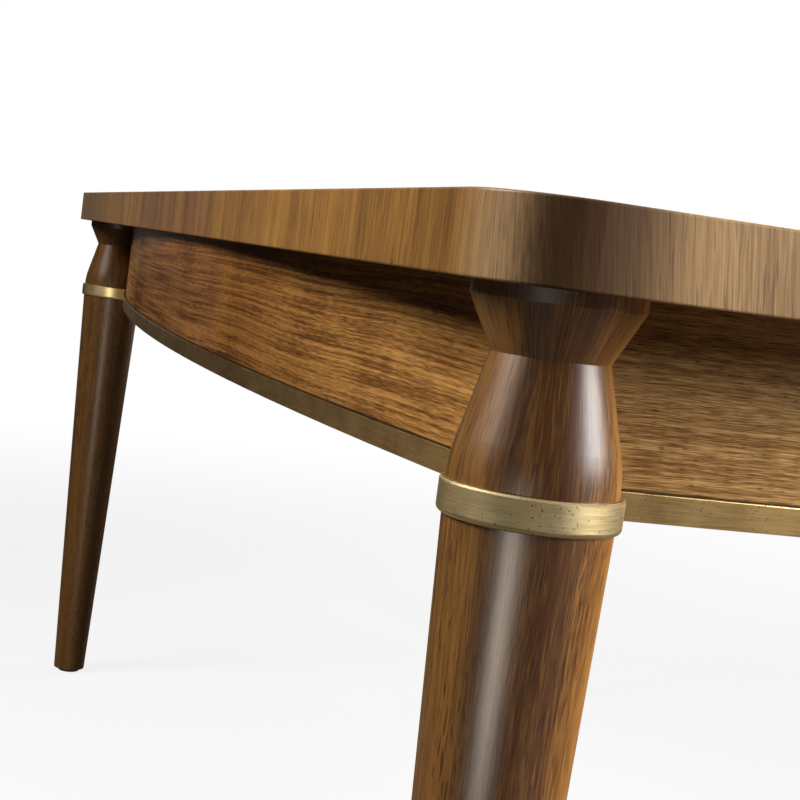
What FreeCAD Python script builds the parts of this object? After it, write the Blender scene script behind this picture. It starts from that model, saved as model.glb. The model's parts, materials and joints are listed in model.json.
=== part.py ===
import FreeCAD, Part
import math
import os

# Extending dining table, closed. Millimetres, Z up, origin on the floor under the middle of the closed table.
# X runs along the table and Y across it; the front is the -Y side.
# Half A is the -X half and stays put, half B is the +X half and slides out along +X.
# Between them a carriage of two middle rails carries the folded leaf and always moves half as far as half B.

V = FreeCAD.Vector

# Table as a whole
table_length = 1942.0
table_width = 980.0
table_height = 762.0
end_overhang = 66.0
side_overhang = 60.0
seam_gap = 0.4

# Top of each half: panel, build-up frame under its edges, lipping round the outside
edge_depth = 42.0
panel_thickness = 32.0
lipping_thickness = 4.0
corner_radius = 50.0
arris_round = 1.5
side_band_width = 110.0
end_band_width = 150.0
seam_band_width = 70.0

# Bowed apron frame, set back inside the leg axes, and the metal strip along its lower edge
frame_end_inset = 28.5
frame_side_inset = 19.0
apron_height = 116.0
apron_thickness = 22.0
side_bow = 65.5
end_bow = 11.0
strip_height = 15.8
strip_let_in = 2.5
strip_proud = 2.5

# Turned leg: rim, flare, neck, swell, ring, taper
rim_height = 7.0
flare_radius = 44.2
flare_height = 27.0
neck_radius = 30.1
swell_radius = 43.6
swell_round = 11.0
ring_rise = 1.7
ring_height = 17.5
ring_radius = 46.6
ring_thickness = 4.6
ring_round = 3.0
ring_chamfer = 1.0
leg_radius = 43.4
leg_taper = 0.033

# Glide under each foot
glide_height = 5.0
glide_radius = 16.0
glide_stem_radius = 4.0
glide_stem_length = 15.0

# Corner block and the hanger bolts that draw the leg on to the frame
block_reach = 112.0
block_drop = 100.0
bolt_radius = 4.0
bolt_grip = 24.0
bolt_tail = 5.0
bolt_spacing = 22.0
bolt_rise = 30.0
bolt_clearance = 0.25
washer_radius = 10.0
washer_thickness = 2.0
nut_across_flats = 13.0
nut_height = 6.5

# Glue blocks between apron and top: one by its distance from the seam, the others by theirs from the leg's axis
glue_block_length = 60.0
glue_block_depth = 28.0
glue_block_height = 30.0
seam_glue_block = 150.0
side_glue_block_insets = [475.0, 225.0]
end_glue_block_inset = 210.0

# Slides: one three-member unit on each side of the leaf
rail_thickness = 28.0
rail_top_gap = 4.0
rail_height = 67.0
rail_side_gap = 0.6
outer_rail_lift = 2.0
rail_end_gap = 50.0
rail_stop_wall = 11.5
middle_rail_half = 500.0
travel = 500.0

# Dovetail tongue on both faces of the middle rail
tongue_drop = 19.0
tongue_root = 12.0
tongue_tip = 18.0
tongue_depth = 8.0
tongue_clearance = 0.4

# Rack and pinion that keep the carriage centred
gear_module = 2.0
gear_teeth = 20
pressure_angle = math.radians(20.0)
root_clearance = 0.25
tooth_play = 0.3
pinion_height = 10.0
pinion_level = 21.0
pinion_end_gap = 1.0
pinion_pin_radius = 4.0
pinion_pin_length = 41.0
rack_back = 5.5
rack_start = 40.0
rack_stop = 1.5

# Screws
screw_radius = 2.5
screw_head_radius = 5.0
screw_head_height = 3.0
screw_clearance = 0.1
pivot_clearance = 0.08
counterbore_radius = 6.0
rail_screw_depth = 26.0
panel_bite = 20.0
rail_end_screw = 15.0
rail_inner_screws = [35.0, 300.0, 550.0]
bearer_screw_bite = 30.0

# Folded leaf and its bearers
leaf_room = 40.0
leaf_side_room = 12.4
bearer_height = 25.0
bearer_width = 45.0
bearer_inset = 40.0
hinge_plate_length = 50.0
hinge_plate_width = 16.0
hinge_plate_thickness = 3.0
hinge_inset = 14.0

# Alignment pins in the meeting edges
pin_radius = 5.0
pin_bite = 25.0
pin_reach = 14.0
pin_clearance = 0.2
pin_end_gap = 4.0
pin_places = [120.0, 300.0]

# Turning locks under the seam
lock_wall_gap = 5.0
lock_arm = 40.0
lock_thickness = 4.0
lock_play = 0.3
lock_boss_radius = 11.0
lock_head_radius = 13.0
lock_bar_width = 16.0
lock_handle = 45.0
lock_swing_gap = 2.0
lock_tab_drop = 14.0
lock_tab_thickness = 3.0
stud_radius = 4.0
stud_clearance = 0.4
stud_head_radius = 8.0
stud_head_height = 3.0
stud_thread_radius = 3.0
stud_thread_length = 25.0

# Levels that follow from the sizes above
underside = table_height - edge_depth
panel_bottom = table_height - panel_thickness
panel_middle = table_height - panel_thickness / 2
frame_bottom = underside - apron_height
strip_top = frame_bottom + strip_height
ring_top = strip_top + ring_rise
ring_bottom = ring_top - ring_height
ring_bore = ring_radius - ring_thickness
rim_bottom = underside - rim_height
neck_level = rim_bottom - flare_height
rail_top = underside - rail_top_gap
rail_bottom = rail_top - rail_height
outer_rail_bottom = rail_bottom + outer_rail_lift
tongue_level = rail_top - tongue_drop
pinion_bottom = rail_bottom + pinion_level - pinion_height / 2
pinion_top = pinion_bottom + pinion_height

# Plan sizes that follow from the sizes above
top_half_length = table_length / 2
top_half_width = table_width / 2
leg_centre_x = top_half_length - end_overhang
leg_centre_y = top_half_width - side_overhang
frame_x = leg_centre_x - frame_end_inset
frame_y = leg_centre_y - frame_side_inset
seam = seam_gap / 2
inner_face = rail_thickness / 2 + rail_side_gap
outer_face = inner_face + rail_thickness
pitch_radius = gear_module * gear_teeth / 2
rack_pitch = math.pi * gear_module
rack_root = pitch_radius + gear_module * (1 + root_clearance)
rack_rear = rack_root + rack_back
screw_line = (rack_rear + outer_face) / 2
groove_stop = travel / 2 + pitch_radius + gear_module + rack_stop
outer_rail_reach = groove_stop + rail_stop_wall
outer_rail_end = frame_x - apron_thickness - rail_end_gap
rail_screw_places = rail_inner_screws + [outer_rail_end - rail_end_screw]
unit_centre_y = top_half_width / 2 + leaf_side_room + outer_face
leaf_width = travel - leaf_room
bearer_centre_x = leaf_width / 2 - bearer_inset
lock_centre_y = frame_y + side_bow - apron_thickness - lock_handle - lock_wall_gap


def box(x0, x1, y0, y1, z0, z1):
    return Part.makeBox(x1 - x0, y1 - y0, z1 - z0, V(x0, y0, z0))


def upright(radius, x, y, z0, z1):
    return Part.makeCylinder(radius, z1 - z0, V(x, y, z0))


def prism(plan, z0, z1):
    corners = [V(x, y, z0) for x, y in plan]
    face = Part.Face(Part.makePolygon(corners + corners[:1]))
    return face.extrude(V(0, 0, z1 - z0))


def bar(section, x0, x1):
    corners = [V(x0, y, z) for y, z in section]
    face = Part.Face(Part.makePolygon(corners + corners[:1]))
    return face.extrude(V(x1 - x0, 0, 0))


def one_solid(shape):
    if len(shape.Solids) != 1:
        raise ValueError("expected one solid, found %d" % len(shape.Solids))
    return shape.Solids[0]


def group(shapes):
    return Part.makeCompound([one_solid(shape) for shape in shapes])


def rear_of(shape):
    return shape.mirror(V(0, 0, 0), V(0, 1, 0))


def other_half_of(shape):
    return shape.mirror(V(0, 0, 0), V(1, 0, 0))


def half_b_space():
    return box(seam, 2 * top_half_length, -2 * top_half_width, 2 * top_half_width, 0, 2 * table_height)


# Top


def plate(inset, z0, z1):
    x = top_half_length - inset
    y = top_half_width - inset
    slab = box(-x, x, -y, y, z0, z1)
    corners = [edge for edge in slab.Edges if abs(edge.tangentAt(edge.FirstParameter).z) > 0.9]
    return slab.makeFillet(corner_radius - inset, corners)


def pins_at(radius, x0, x1, places, z):
    return [Part.makeCylinder(radius, x1 - x0, V(x0, y, z), V(1, 0, 0)) for y in places]


def both_sides(places):
    return [-place for place in places] + places


def lock_thread_holes(x):
    radius = stud_thread_radius + screw_clearance
    top = underside + stud_thread_length
    return [upright(radius, x, y, underside, top) for y in both_sides([lock_centre_y])]


def screw_line_of(half):
    # Half A holds the outer rail of each unit, half B the inner one.
    return unit_centre_y + screw_line if half == "a" else unit_centre_y - screw_line


def screw_holes_in_top(half):
    radius = screw_radius + screw_clearance
    places = both_sides([screw_line_of(half)])
    top = panel_bottom + panel_bite
    return [upright(radius, x, y, underside, top) for x in rail_screw_places for y in places]


def top_panel(half):
    panel = plate(lipping_thickness, panel_bottom, table_height).common(half_b_space())
    if half == "b":
        pins = pins_at(pin_radius, seam, seam + pin_bite, both_sides(pin_places), panel_middle)
    else:
        depth = pin_reach + pin_end_gap
        pins = pins_at(pin_radius + pin_clearance, seam, seam + depth, both_sides(pin_places), panel_middle)
    panel = panel.cut(pins + screw_holes_in_top(half) + lock_thread_holes(lock_arm / 2))
    return one_solid(panel)


def build_up(half):
    frame = plate(lipping_thickness, underside, panel_bottom).common(half_b_space())
    x = top_half_length - end_band_width
    y = top_half_width - side_band_width
    opening = box(seam + seam_band_width, x, -y, y, underside, panel_bottom)
    return one_solid(frame.cut([opening] + screw_holes_in_top(half) + lock_thread_holes(lock_arm / 2)))


def lipping():
    outside = plate(0, underside, table_height)
    rims = [edge for edge in outside.Edges if edge.BoundBox.ZLength < 0.01]
    outside = outside.makeFillet(arris_round, rims)
    band = outside.cut(plate(lipping_thickness, underside, table_height))
    return one_solid(band.common(half_b_space()))


def alignment_pins():
    tip = -seam - pin_reach
    return pins_at(pin_radius, tip, seam + pin_bite, both_sides(pin_places), panel_middle)


# Apron frame


def frame_prism(outset, z0, z1):
    # Plan of the frame: a corner just inside each leg axis and four sides bowed outward, all moved out by outset.
    x = frame_x + outset
    y = frame_y + outset
    corners = [V(-x, -y, z0), V(x, -y, z0), V(x, y, z0), V(-x, y, z0)]
    bulges = [V(0, -y - side_bow, z0), V(x + end_bow, 0, z0), V(0, y + side_bow, z0), V(-x - end_bow, 0, z0)]
    sides = [Part.Arc(corners[i], bulges[i], corners[(i + 1) % 4]).toShape() for i in range(4)]
    return Part.Face(Part.Wire(sides)).extrude(V(0, 0, z1 - z0))


def frame_shell(outset, inset, z0, z1):
    return frame_prism(outset, z0, z1).cut(frame_prism(-inset, z0, z1))


def side_sector():
    # The front side of half B, mitred at the leg and square at the seam.
    x = frame_x
    y = -frame_y
    reach = 2 * side_bow
    plan = [(seam, y - reach), (x + reach, y - reach), (x - reach, y + reach), (seam, y + reach)]
    return prism(plan, frame_bottom, underside)


def end_sector():
    x = frame_x
    y = frame_y
    reach = 2 * side_bow
    plan = [(x + reach, -y - reach), (x + reach, y + reach), (x - reach, y - reach), (x - reach, -y + reach)]
    return prism(plan, frame_bottom, underside)


def inward(distance, z):
    # A point on the front corner's diagonal, measured inward from the leg axis.
    step = distance / math.sqrt(2)
    return V(leg_centre_x - step, -leg_centre_y + step, z)


def along_diagonal(radius, start, finish, z):
    return Part.makeCylinder(radius, finish - start, inward(start, z), V(-1, 1, 0))


def bolt_levels():
    return [frame_bottom + bolt_rise, frame_bottom + bolt_rise + bolt_spacing]


def bolt_holes(clearance):
    radius = bolt_radius + clearance
    return [along_diagonal(radius, -bolt_grip, 2 * block_reach, z) for z in bolt_levels()]


def frame_bolt_holes():
    front = bolt_holes(bolt_clearance)
    return front + [rear_of(hole) for hole in front]


def apron_wood():
    wood = frame_shell(0, apron_thickness, frame_bottom, underside)
    return wood.cut(frame_shell(0, strip_let_in, frame_bottom, strip_top))


def side_apron():
    return one_solid(apron_wood().common(side_sector()).cut(bolt_holes(bolt_clearance)))


def end_apron():
    return one_solid(apron_wood().common(end_sector()).cut(frame_bolt_holes()))


def side_strip():
    return one_solid(frame_shell(strip_proud, strip_let_in, frame_bottom, strip_top).common(side_sector()))


def end_strip():
    return one_solid(frame_shell(strip_proud, strip_let_in, frame_bottom, strip_top).common(end_sector()))


def corner_block():
    side = block_reach * math.sqrt(2)
    x = leg_centre_x
    y = -leg_centre_y
    wedge = prism([(x, y), (x, y + side), (x - side, y)], underside - block_drop, underside)
    block = wedge.common(frame_prism(-apron_thickness, underside - block_drop, underside))
    return one_solid(block.cut(bolt_holes(bolt_clearance)))


def glue_blocks():
    inside = frame_prism(-apron_thickness, underside - glue_block_height, underside)
    half = glue_block_length / 2
    low = underside - glue_block_height
    blocks = []
    for x in [seam_glue_block] + [leg_centre_x - inset for inset in side_glue_block_insets]:
        bow = side_bow * (1 - (x / frame_x) ** 2)
        y = -frame_y + apron_thickness - bow + glue_block_depth
        blocks.append(box(x - half, x + half, -top_half_width, y, low, underside))
    blocks = blocks + [rear_of(block) for block in blocks]
    outermost = leg_centre_y - end_glue_block_inset
    for y in (-outermost, 0.0, outermost):
        bow = end_bow * (1 - (y / frame_y) ** 2)
        x = frame_x - apron_thickness + bow - glue_block_depth
        blocks.append(box(x, top_half_length, y - half, y + half, low, underside))
    return [block.common(inside) for block in blocks]


# Legs


def turned(edges):
    # The turning starts and closes on the side that faces under the table.
    face = Part.Face(Part.Wire(edges))
    return face.revolve(V(0, 0, 0), V(0, 0, 1), 360).rotated(V(0, 0, 0), V(0, 0, 1), 122)


def lines(points):
    return [Part.LineSegment(points[i], points[i + 1]).toShape() for i in range(len(points) - 1)]


def section_point(radius, z):
    return V(radius, 0, z)


def leg_turning():
    foot_radius = leg_radius - leg_taper * (ring_bottom - glide_height)
    corner = section_point(swell_radius, ring_top + swell_round)
    neck = section_point(neck_radius, neck_level)
    down = V(0, 0, -1)
    upward = (neck - corner).normalize()
    half_angle = down.getAngle(upward) / 2
    bisector = (down + upward).normalize()
    centre = corner + bisector * (swell_round / math.cos(half_angle))
    round_start = corner + down * swell_round
    round_middle = centre - bisector * (swell_round * math.tan(half_angle))
    round_end = corner + upward * swell_round
    below = [section_point(0, glide_height), section_point(foot_radius, glide_height)]
    below += [section_point(leg_radius, ring_bottom), section_point(ring_bore, ring_bottom)]
    below += [section_point(ring_bore, ring_top), round_start]
    above = [round_end, neck, section_point(flare_radius, rim_bottom), section_point(flare_radius, underside)]
    above += [section_point(0, underside), section_point(0, glide_height)]
    swell = Part.Arc(round_start, round_middle, round_end).toShape()
    return turned(lines(below) + [swell] + lines(above))


def at_front_corner(shape):
    return shape.translated(V(leg_centre_x, -leg_centre_y, 0))


def leg():
    stem = upright(glide_stem_radius + screw_clearance, 0, 0, glide_height, glide_height + glide_stem_length)
    whole = at_front_corner(leg_turning().cut(stem))
    notch = [frame_prism(0, frame_bottom, underside), frame_prism(strip_proud, frame_bottom, strip_top)]
    return one_solid(whole.cut(notch + bolt_holes(screw_clearance)))


def leg_ring():
    turn = ring_round * (1 - math.sqrt(0.5))
    bottom = [section_point(ring_bore, ring_bottom), section_point(ring_radius - ring_round, ring_bottom)]
    bend = section_point(ring_radius - turn, ring_bottom + turn)
    side = [section_point(ring_radius, ring_bottom + ring_round)]
    side += [section_point(ring_radius, ring_top - ring_chamfer)]
    side += [section_point(ring_radius - ring_chamfer, ring_top)]
    side += [section_point(ring_bore, ring_top), bottom[0]]
    corner = Part.Arc(bottom[1], bend, side[0]).toShape()
    ring = at_front_corner(turned(lines(bottom) + [corner] + lines(side)))
    notch = [frame_prism(0, frame_bottom, underside), frame_prism(strip_proud, frame_bottom, strip_top)]
    return one_solid(ring.cut(notch))


def leg_bolts():
    pieces = []
    nut_start = block_reach + washer_thickness
    nut_end = nut_start + nut_height
    for z in bolt_levels():
        pieces.append(along_diagonal(bolt_radius, -bolt_grip, nut_end + bolt_tail, z))
        hole = along_diagonal(bolt_radius + screw_clearance, block_reach, nut_end, z)
        pieces.append(along_diagonal(washer_radius, block_reach, nut_start, z).cut(hole))
        pieces.append(hexagon(nut_start, nut_height, z).cut(hole))
    return pieces


def hexagon(start, height, z):
    radius = nut_across_flats / math.sqrt(3)
    centre = inward(start, z)
    across = V(1, 1, 0).normalize()
    corners = []
    for i in range(7):
        angle = math.radians(60 * i)
        corners.append(centre + across * (radius * math.cos(angle)) + V(0, 0, radius * math.sin(angle)))
    return Part.Face(Part.makePolygon(corners)).extrude(V(-1, 1, 0).normalize() * height)


def glide():
    disc = upright(glide_radius, 0, 0, 0, glide_height)
    stem = upright(glide_stem_radius, 0, 0, glide_height, glide_height + glide_stem_length)
    return at_front_corner(disc.fuse(stem).removeSplitter())


# Slides, drawn about the middle of one unit with half A's rail on the -Y side


def front_unit(shape):
    return shape.translated(V(0, -unit_centre_y, 0))


def half_turn(shape):
    return shape.rotated(V(0, 0, 0), V(0, 0, 1), 180)


def rail_screw_hole(x):
    shank = upright(screw_radius + screw_clearance, x, -screw_line, rail_top - rail_screw_depth, rail_top)
    counterbore = upright(counterbore_radius, x, -screw_line, outer_rail_bottom, rail_top - rail_screw_depth)
    return [shank, counterbore]


def outer_rail():
    blank = box(-outer_rail_end, outer_rail_reach, -outer_face, -inner_face, outer_rail_bottom, rail_top)
    mouth = tongue_root / 2 + tongue_clearance
    floor = tongue_tip / 2 + tongue_clearance
    start = -rail_thickness / 2
    depth = start - tongue_depth - tongue_clearance
    section = [(start, tongue_level - mouth), (start, tongue_level + mouth)]
    section += [(depth, tongue_level + floor), (depth, tongue_level - floor)]
    groove = bar(section, -outer_rail_end, outer_rail_reach)
    low = pinion_bottom - pinion_end_gap
    high = pinion_top + pinion_end_gap
    rack_seat = box(-rack_start, groove_stop, -rack_rear, -inner_face, low, high)
    holes = [groove, rack_seat]
    for x in rail_screw_places:
        holes += rail_screw_hole(-x)
    return one_solid(blank.cut(holes))


def middle_rail():
    face = rail_thickness / 2
    tip = face + tongue_depth
    root_half = tongue_root / 2
    tip_half = tongue_tip / 2
    section = [(-face, rail_bottom), (face, rail_bottom)]
    section += [(face, tongue_level - root_half), (tip, tongue_level - tip_half)]
    section += [(tip, tongue_level + tip_half), (face, tongue_level + root_half)]
    section += [(face, rail_top), (-face, rail_top)]
    section += [(-face, tongue_level + root_half), (-tip, tongue_level + tip_half)]
    section += [(-tip, tongue_level - tip_half), (-face, tongue_level - root_half)]
    rail = bar(section, -middle_rail_half, middle_rail_half)
    half = pitch_radius + gear_module + pinion_end_gap
    slot = box(-half, half, -face, face, pinion_bottom - pinion_end_gap / 2, pinion_top + pinion_end_gap / 2)
    radius = pinion_pin_radius + screw_clearance
    pin_hole = upright(radius, 0, 0, rail_bottom, rail_bottom + pinion_pin_length)
    screw_holes = bearer_screw_holes(rail_bottom, rail_bottom + bearer_screw_bite)
    return one_solid(rail.cut([slot, pin_hole] + screw_holes))


def pinion_pin():
    return upright(pinion_pin_radius, 0, 0, rail_bottom, rail_bottom + pinion_pin_length)


def rack():
    tip = pitch_radius - gear_module
    half = rack_pitch / 4
    tip_half = half - gear_module * math.tan(pressure_angle)
    root_half = half + gear_module * (1 + root_clearance) * math.tan(pressure_angle)
    first = math.ceil(-rack_start / rack_pitch)
    last = math.floor(groove_stop / rack_pitch)
    plan = [(-rack_start, -rack_rear), (-rack_start, -rack_root)]
    for i in range(first, last):
        centre = (i + 0.5) * rack_pitch
        plan += [(centre - root_half, -rack_root), (centre - tip_half, -tip)]
        plan += [(centre + tip_half, -tip), (centre + root_half, -rack_root)]
    plan += [(groove_stop, -rack_root), (groove_stop, -rack_rear)]
    return one_solid(prism(plan, pinion_bottom - pinion_end_gap, pinion_top + pinion_end_gap))


def polar(radius, angle):
    return (radius * math.cos(angle), radius * math.sin(angle))


def pinion():
    base = pitch_radius * math.cos(pressure_angle)
    root = pitch_radius - gear_module * (1 + root_clearance)
    tip = pitch_radius + gear_module
    half_tooth = math.pi / (2 * gear_teeth) - tooth_play / (2 * pitch_radius)
    at_base = half_tooth + math.tan(pressure_angle) - pressure_angle
    flank = [(root, at_base)]
    steps = 6
    for i in range(steps + 1):
        radius = base + (tip - base) * i / steps
        roll = math.acos(base / radius)
        flank.append((radius, at_base - math.tan(roll) + roll))
    plan = []
    for tooth in range(gear_teeth):
        middle = 2 * math.pi * tooth / gear_teeth
        plan += [polar(radius, middle - angle) for radius, angle in flank]
        plan += [polar(radius, middle + angle) for radius, angle in reversed(flank)]
    gear = prism(plan, pinion_bottom, pinion_top)
    bore = upright(pinion_pin_radius + pivot_clearance, 0, 0, pinion_bottom, pinion_top)
    return one_solid(gear.cut(bore))


def cleat():
    # The strip between an outer rail and the top, before it is stepped over the build-up frame.
    strip = box(-outer_rail_end, -seam, -outer_face, -inner_face, rail_top, panel_bottom)
    shank = screw_radius + screw_clearance
    holes = [upright(shank, -x, -screw_line, rail_top, panel_bottom) for x in rail_screw_places]
    return strip.cut(holes)


def lock_swing():
    # The room that the front lock sweeps as it turns, which the cleats leave free.
    radius = lock_arm + lock_head_radius + lock_swing_gap
    low = underside - lock_play - lock_thickness - lock_swing_gap
    return upright(radius, -lock_arm / 2, -lock_centre_y, low, underside)


def rail_screws():
    pieces = []
    head_top = rail_top - rail_screw_depth
    for x in rail_screw_places:
        head = upright(screw_head_radius, -x, -screw_line, head_top - screw_head_height, head_top)
        shank = upright(screw_radius, -x, -screw_line, head_top, panel_bottom + panel_bite)
        pieces.append(head.fuse(shank).removeSplitter())
    return pieces


# Carriage: bearers and the folded leaf


def bearer_screw_holes(z0, z1):
    radius = screw_radius + screw_clearance
    return [upright(radius, x, 0, z0, z1) for x in both_sides([bearer_centre_x])]


def bearer():
    half = bearer_width / 2
    reach = unit_centre_y + rail_thickness / 2
    low = rail_bottom - bearer_height
    blank = box(bearer_centre_x - half, bearer_centre_x + half, -reach, reach, low, rail_bottom)
    holes = []
    for y in both_sides([unit_centre_y]):
        shank = screw_radius + screw_clearance
        head = screw_head_radius + screw_clearance
        holes.append(upright(shank, bearer_centre_x, y, low, rail_bottom))
        holes.append(upright(head, bearer_centre_x, y, low, low + screw_head_height))
    return one_solid(blank.cut(holes))


def bearer_screws():
    low = rail_bottom - bearer_height
    pieces = []
    for x in both_sides([bearer_centre_x]):
        for y in both_sides([unit_centre_y]):
            head = upright(screw_head_radius, x, y, low, low + screw_head_height)
            shank = upright(screw_radius, x, y, low + screw_head_height, rail_bottom + bearer_screw_bite)
            pieces.append(head.fuse(shank).removeSplitter())
    return pieces


def hinge_plates():
    # Flat hinge links let into the leaf's two X edges, spanning the joint between the folded boards.
    fold = rail_bottom + panel_thickness
    radius = hinge_plate_width / 2
    half = hinge_plate_length / 2 - hinge_plate_width / 2
    y = -top_half_width / 2 + hinge_inset
    plates = []
    for x in (-leaf_width / 2, leaf_width / 2 - hinge_plate_thickness):
        link = box(x, x + hinge_plate_thickness, y - radius, y + radius, fold - half, fold + half)
        for z in (fold - half, fold + half):
            link = link.fuse(Part.makeCylinder(radius, hinge_plate_thickness, V(x, y, z), V(1, 0, 0)))
        plates.append(link.removeSplitter())
    return plates


def leaf_pin_level(board):
    return rail_bottom + panel_thickness * (board + 0.5)


def leaf_pin_places():
    return [-top_half_width / 2 + place for place in pin_places]


def leaf_board(board):
    low = rail_bottom + board * panel_thickness
    half_x = leaf_width / 2
    half_y = top_half_width / 2
    blank = box(-half_x, half_x, -half_y, half_y, low, low + panel_thickness)
    level = leaf_pin_level(board)
    pins = pins_at(pin_radius, -half_x, -half_x + pin_bite, leaf_pin_places(), level)
    depth = pin_reach + pin_end_gap
    sockets = pins_at(pin_radius + pin_clearance, half_x - depth, half_x, leaf_pin_places(), level)
    return one_solid(blank.cut(pins + sockets + hinge_plates()))


def leaf_pins():
    edge = -leaf_width / 2
    pins = []
    for board in (0, 1):
        level = leaf_pin_level(board)
        pins += pins_at(pin_radius, edge - pin_reach, edge + pin_bite, leaf_pin_places(), level)
    return pins


# Seam locks, the front one drawn about its own pivot with the arm along +X as it stands when locked


def lock_lever_blank():
    top = underside - lock_play
    low = top - lock_thickness
    half = lock_bar_width / 2
    body = upright(lock_boss_radius, 0, 0, low, top)
    body = body.fuse(upright(lock_head_radius, lock_arm, 0, low, top))
    body = body.fuse(box(-lock_handle, lock_arm, -half, half, low, top))
    tab_end = -lock_handle + lock_tab_thickness
    body = body.fuse(box(-lock_handle, tab_end, -half, half, low - lock_tab_drop, low))
    body = body.removeSplitter()
    slot_half = stud_radius + stud_clearance
    ring = upright(lock_arm + slot_half, 0, 0, low, top).cut(upright(lock_arm - slot_half, 0, 0, low, top))
    reach = lock_arm + 2 * lock_head_radius
    wedge = prism([(0, 0), (reach, 0), (reach, -reach)], low, top)
    pivot = upright(stud_radius + pivot_clearance, 0, 0, low, top)
    return one_solid(body.cut([ring.common(wedge), upright(slot_half, lock_arm, 0, low, top), pivot]))


def lock_lever():
    # Stands open at rest: the arm points across the table, away from the other half.
    lever = lock_lever_blank().rotated(V(0, 0, 0), V(0, 0, 1), 90)
    return lever.translated(V(-lock_arm / 2, -lock_centre_y, 0))


def lock_stud(x):
    neck_low = underside - lock_play - lock_thickness - lock_play
    head = upright(stud_head_radius, x, -lock_centre_y, neck_low - stud_head_height, neck_low)
    neck = upright(stud_radius, x, -lock_centre_y, neck_low, underside)
    thread = upright(stud_thread_radius, x, -lock_centre_y, underside, underside + stud_thread_length)
    return head.fuse([neck, thread]).removeSplitter()


def lock_studs(x):
    stud = lock_stud(x)
    return [stud, rear_of(stud)]


def half_nodes(half):
    side = (lambda shape: shape) if half == "b" else other_half_of
    pieces = {}
    pieces["top_panel"] = side(top_panel(half))
    pieces["build_up"] = side(build_up(half))
    pieces["lipping"] = side(lipping())
    pieces["end_apron"] = side(end_apron())
    pieces["side_apron_front"] = side(side_apron())
    pieces["side_apron_rear"] = side(rear_of(side_apron()))
    pieces["end_strip"] = side(end_strip())
    pieces["side_strips"] = group([side(side_strip()), side(rear_of(side_strip()))])
    pieces["leg_front"] = side(leg())
    pieces["leg_rear"] = side(rear_of(leg()))
    pieces["ring_front"] = side(leg_ring())
    pieces["ring_rear"] = side(rear_of(leg_ring()))
    pieces["corner_blocks"] = group([side(corner_block()), side(rear_of(corner_block()))])
    bolts = [side(piece) for piece in leg_bolts()]
    pieces["leg_bolts"] = group(bolts + [rear_of(piece) for piece in bolts])
    pieces["glides"] = group([side(glide()), side(rear_of(glide()))])
    pieces["glue_blocks"] = group([side(block) for block in glue_blocks()])
    turn = half_turn if half == "b" else (lambda shape: shape)
    rail = front_unit(turn(outer_rail()))
    pieces["rail_front"] = rail
    pieces["rail_rear"] = rear_of(rail)
    strip = one_solid(front_unit(turn(cleat())).cut([pieces["build_up"], lock_swing()]))
    pieces["cleats"] = group([strip, rear_of(strip)])
    teeth = front_unit(turn(rack()))
    pieces["racks"] = group([teeth, rear_of(teeth)])
    screws = [front_unit(turn(screw)) for screw in rail_screws()]
    pieces["rail_screws"] = group(screws + [rear_of(screw) for screw in screws])
    return {name + "_" + half: shape for name, shape in pieces.items()}


def carriage_nodes():
    pieces = {}
    pieces["middle_rail_front"] = front_unit(middle_rail())
    pieces["middle_rail_rear"] = rear_of(front_unit(middle_rail()))
    pieces["leaf_bearers"] = group([bearer(), other_half_of(bearer())])
    pieces["bearer_screws"] = group(bearer_screws())
    pieces["pinion_front"] = front_unit(pinion())
    pieces["pinion_rear"] = rear_of(front_unit(pinion()))
    pieces["pinion_pins"] = group([front_unit(pinion_pin()), rear_of(front_unit(pinion_pin()))])
    pieces["leaf_lower"] = leaf_board(0)
    pieces["leaf_upper"] = leaf_board(1)
    pieces["leaf_hinges"] = group(hinge_plates())
    pieces["leaf_pins"] = group(leaf_pins())
    return pieces


def lock_nodes():
    pieces = {}
    pieces["lock_lever_front"] = lock_lever()
    pieces["lock_lever_rear"] = rear_of(lock_lever())
    pieces["lock_pivots"] = group(lock_studs(-lock_arm / 2))
    pieces["lock_keepers"] = group(lock_studs(lock_arm / 2))
    pieces["alignment_pins"] = group(alignment_pins())
    return pieces


os.makedirs("parts", exist_ok=True)
nodes = {}
nodes.update(half_nodes("a"))
nodes.update(half_nodes("b"))
nodes.update(carriage_nodes())
nodes.update(lock_nodes())
for name, shape in nodes.items():
    shape.exportStep("parts/" + name + ".step")
print(len(nodes), "pieces written")
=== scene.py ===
# %% [markdown]
# # An extending dining table in walnut and brass
# This lesson dresses a finished construction. Every part of the table, from the bowed apron to the racks of
# its slides, is already modelled at its real size, so nothing here is moved or resized. What is left to us
# is what the eye judges: the grain of each veneer, the sheen of the lacquer, the age of the brass, and the
# light of a studio.

# %% Load the construction
import json
import math

import bmesh
import bpy
from mathutils import Matrix, Vector


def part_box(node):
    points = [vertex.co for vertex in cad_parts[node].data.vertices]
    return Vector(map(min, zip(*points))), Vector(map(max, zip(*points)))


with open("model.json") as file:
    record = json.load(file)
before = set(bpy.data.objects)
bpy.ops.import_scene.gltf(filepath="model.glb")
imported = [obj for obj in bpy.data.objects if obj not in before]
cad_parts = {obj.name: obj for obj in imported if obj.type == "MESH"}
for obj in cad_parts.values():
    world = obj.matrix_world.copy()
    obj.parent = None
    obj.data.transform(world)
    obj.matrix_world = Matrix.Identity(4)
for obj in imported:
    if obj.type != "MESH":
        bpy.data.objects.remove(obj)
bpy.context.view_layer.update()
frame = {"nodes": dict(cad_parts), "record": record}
nodes = frame["nodes"]
scene = bpy.context.scene

# %% [markdown]
# ## Where the pieces are
# A finish that follows the grain has to know where its piece lies: a leg's grain runs about that leg's
# axis, and the strip has a dark line of painted shade along its upper edge. We could type those places in,
# but the construction knows them, so we ask it once and keep the answers under plain names. Only the height
# of the swell is typed in, because no box can tell it. The main lamps are aimed there.

# %% Measure the table
swell_height = 0.64

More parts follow.
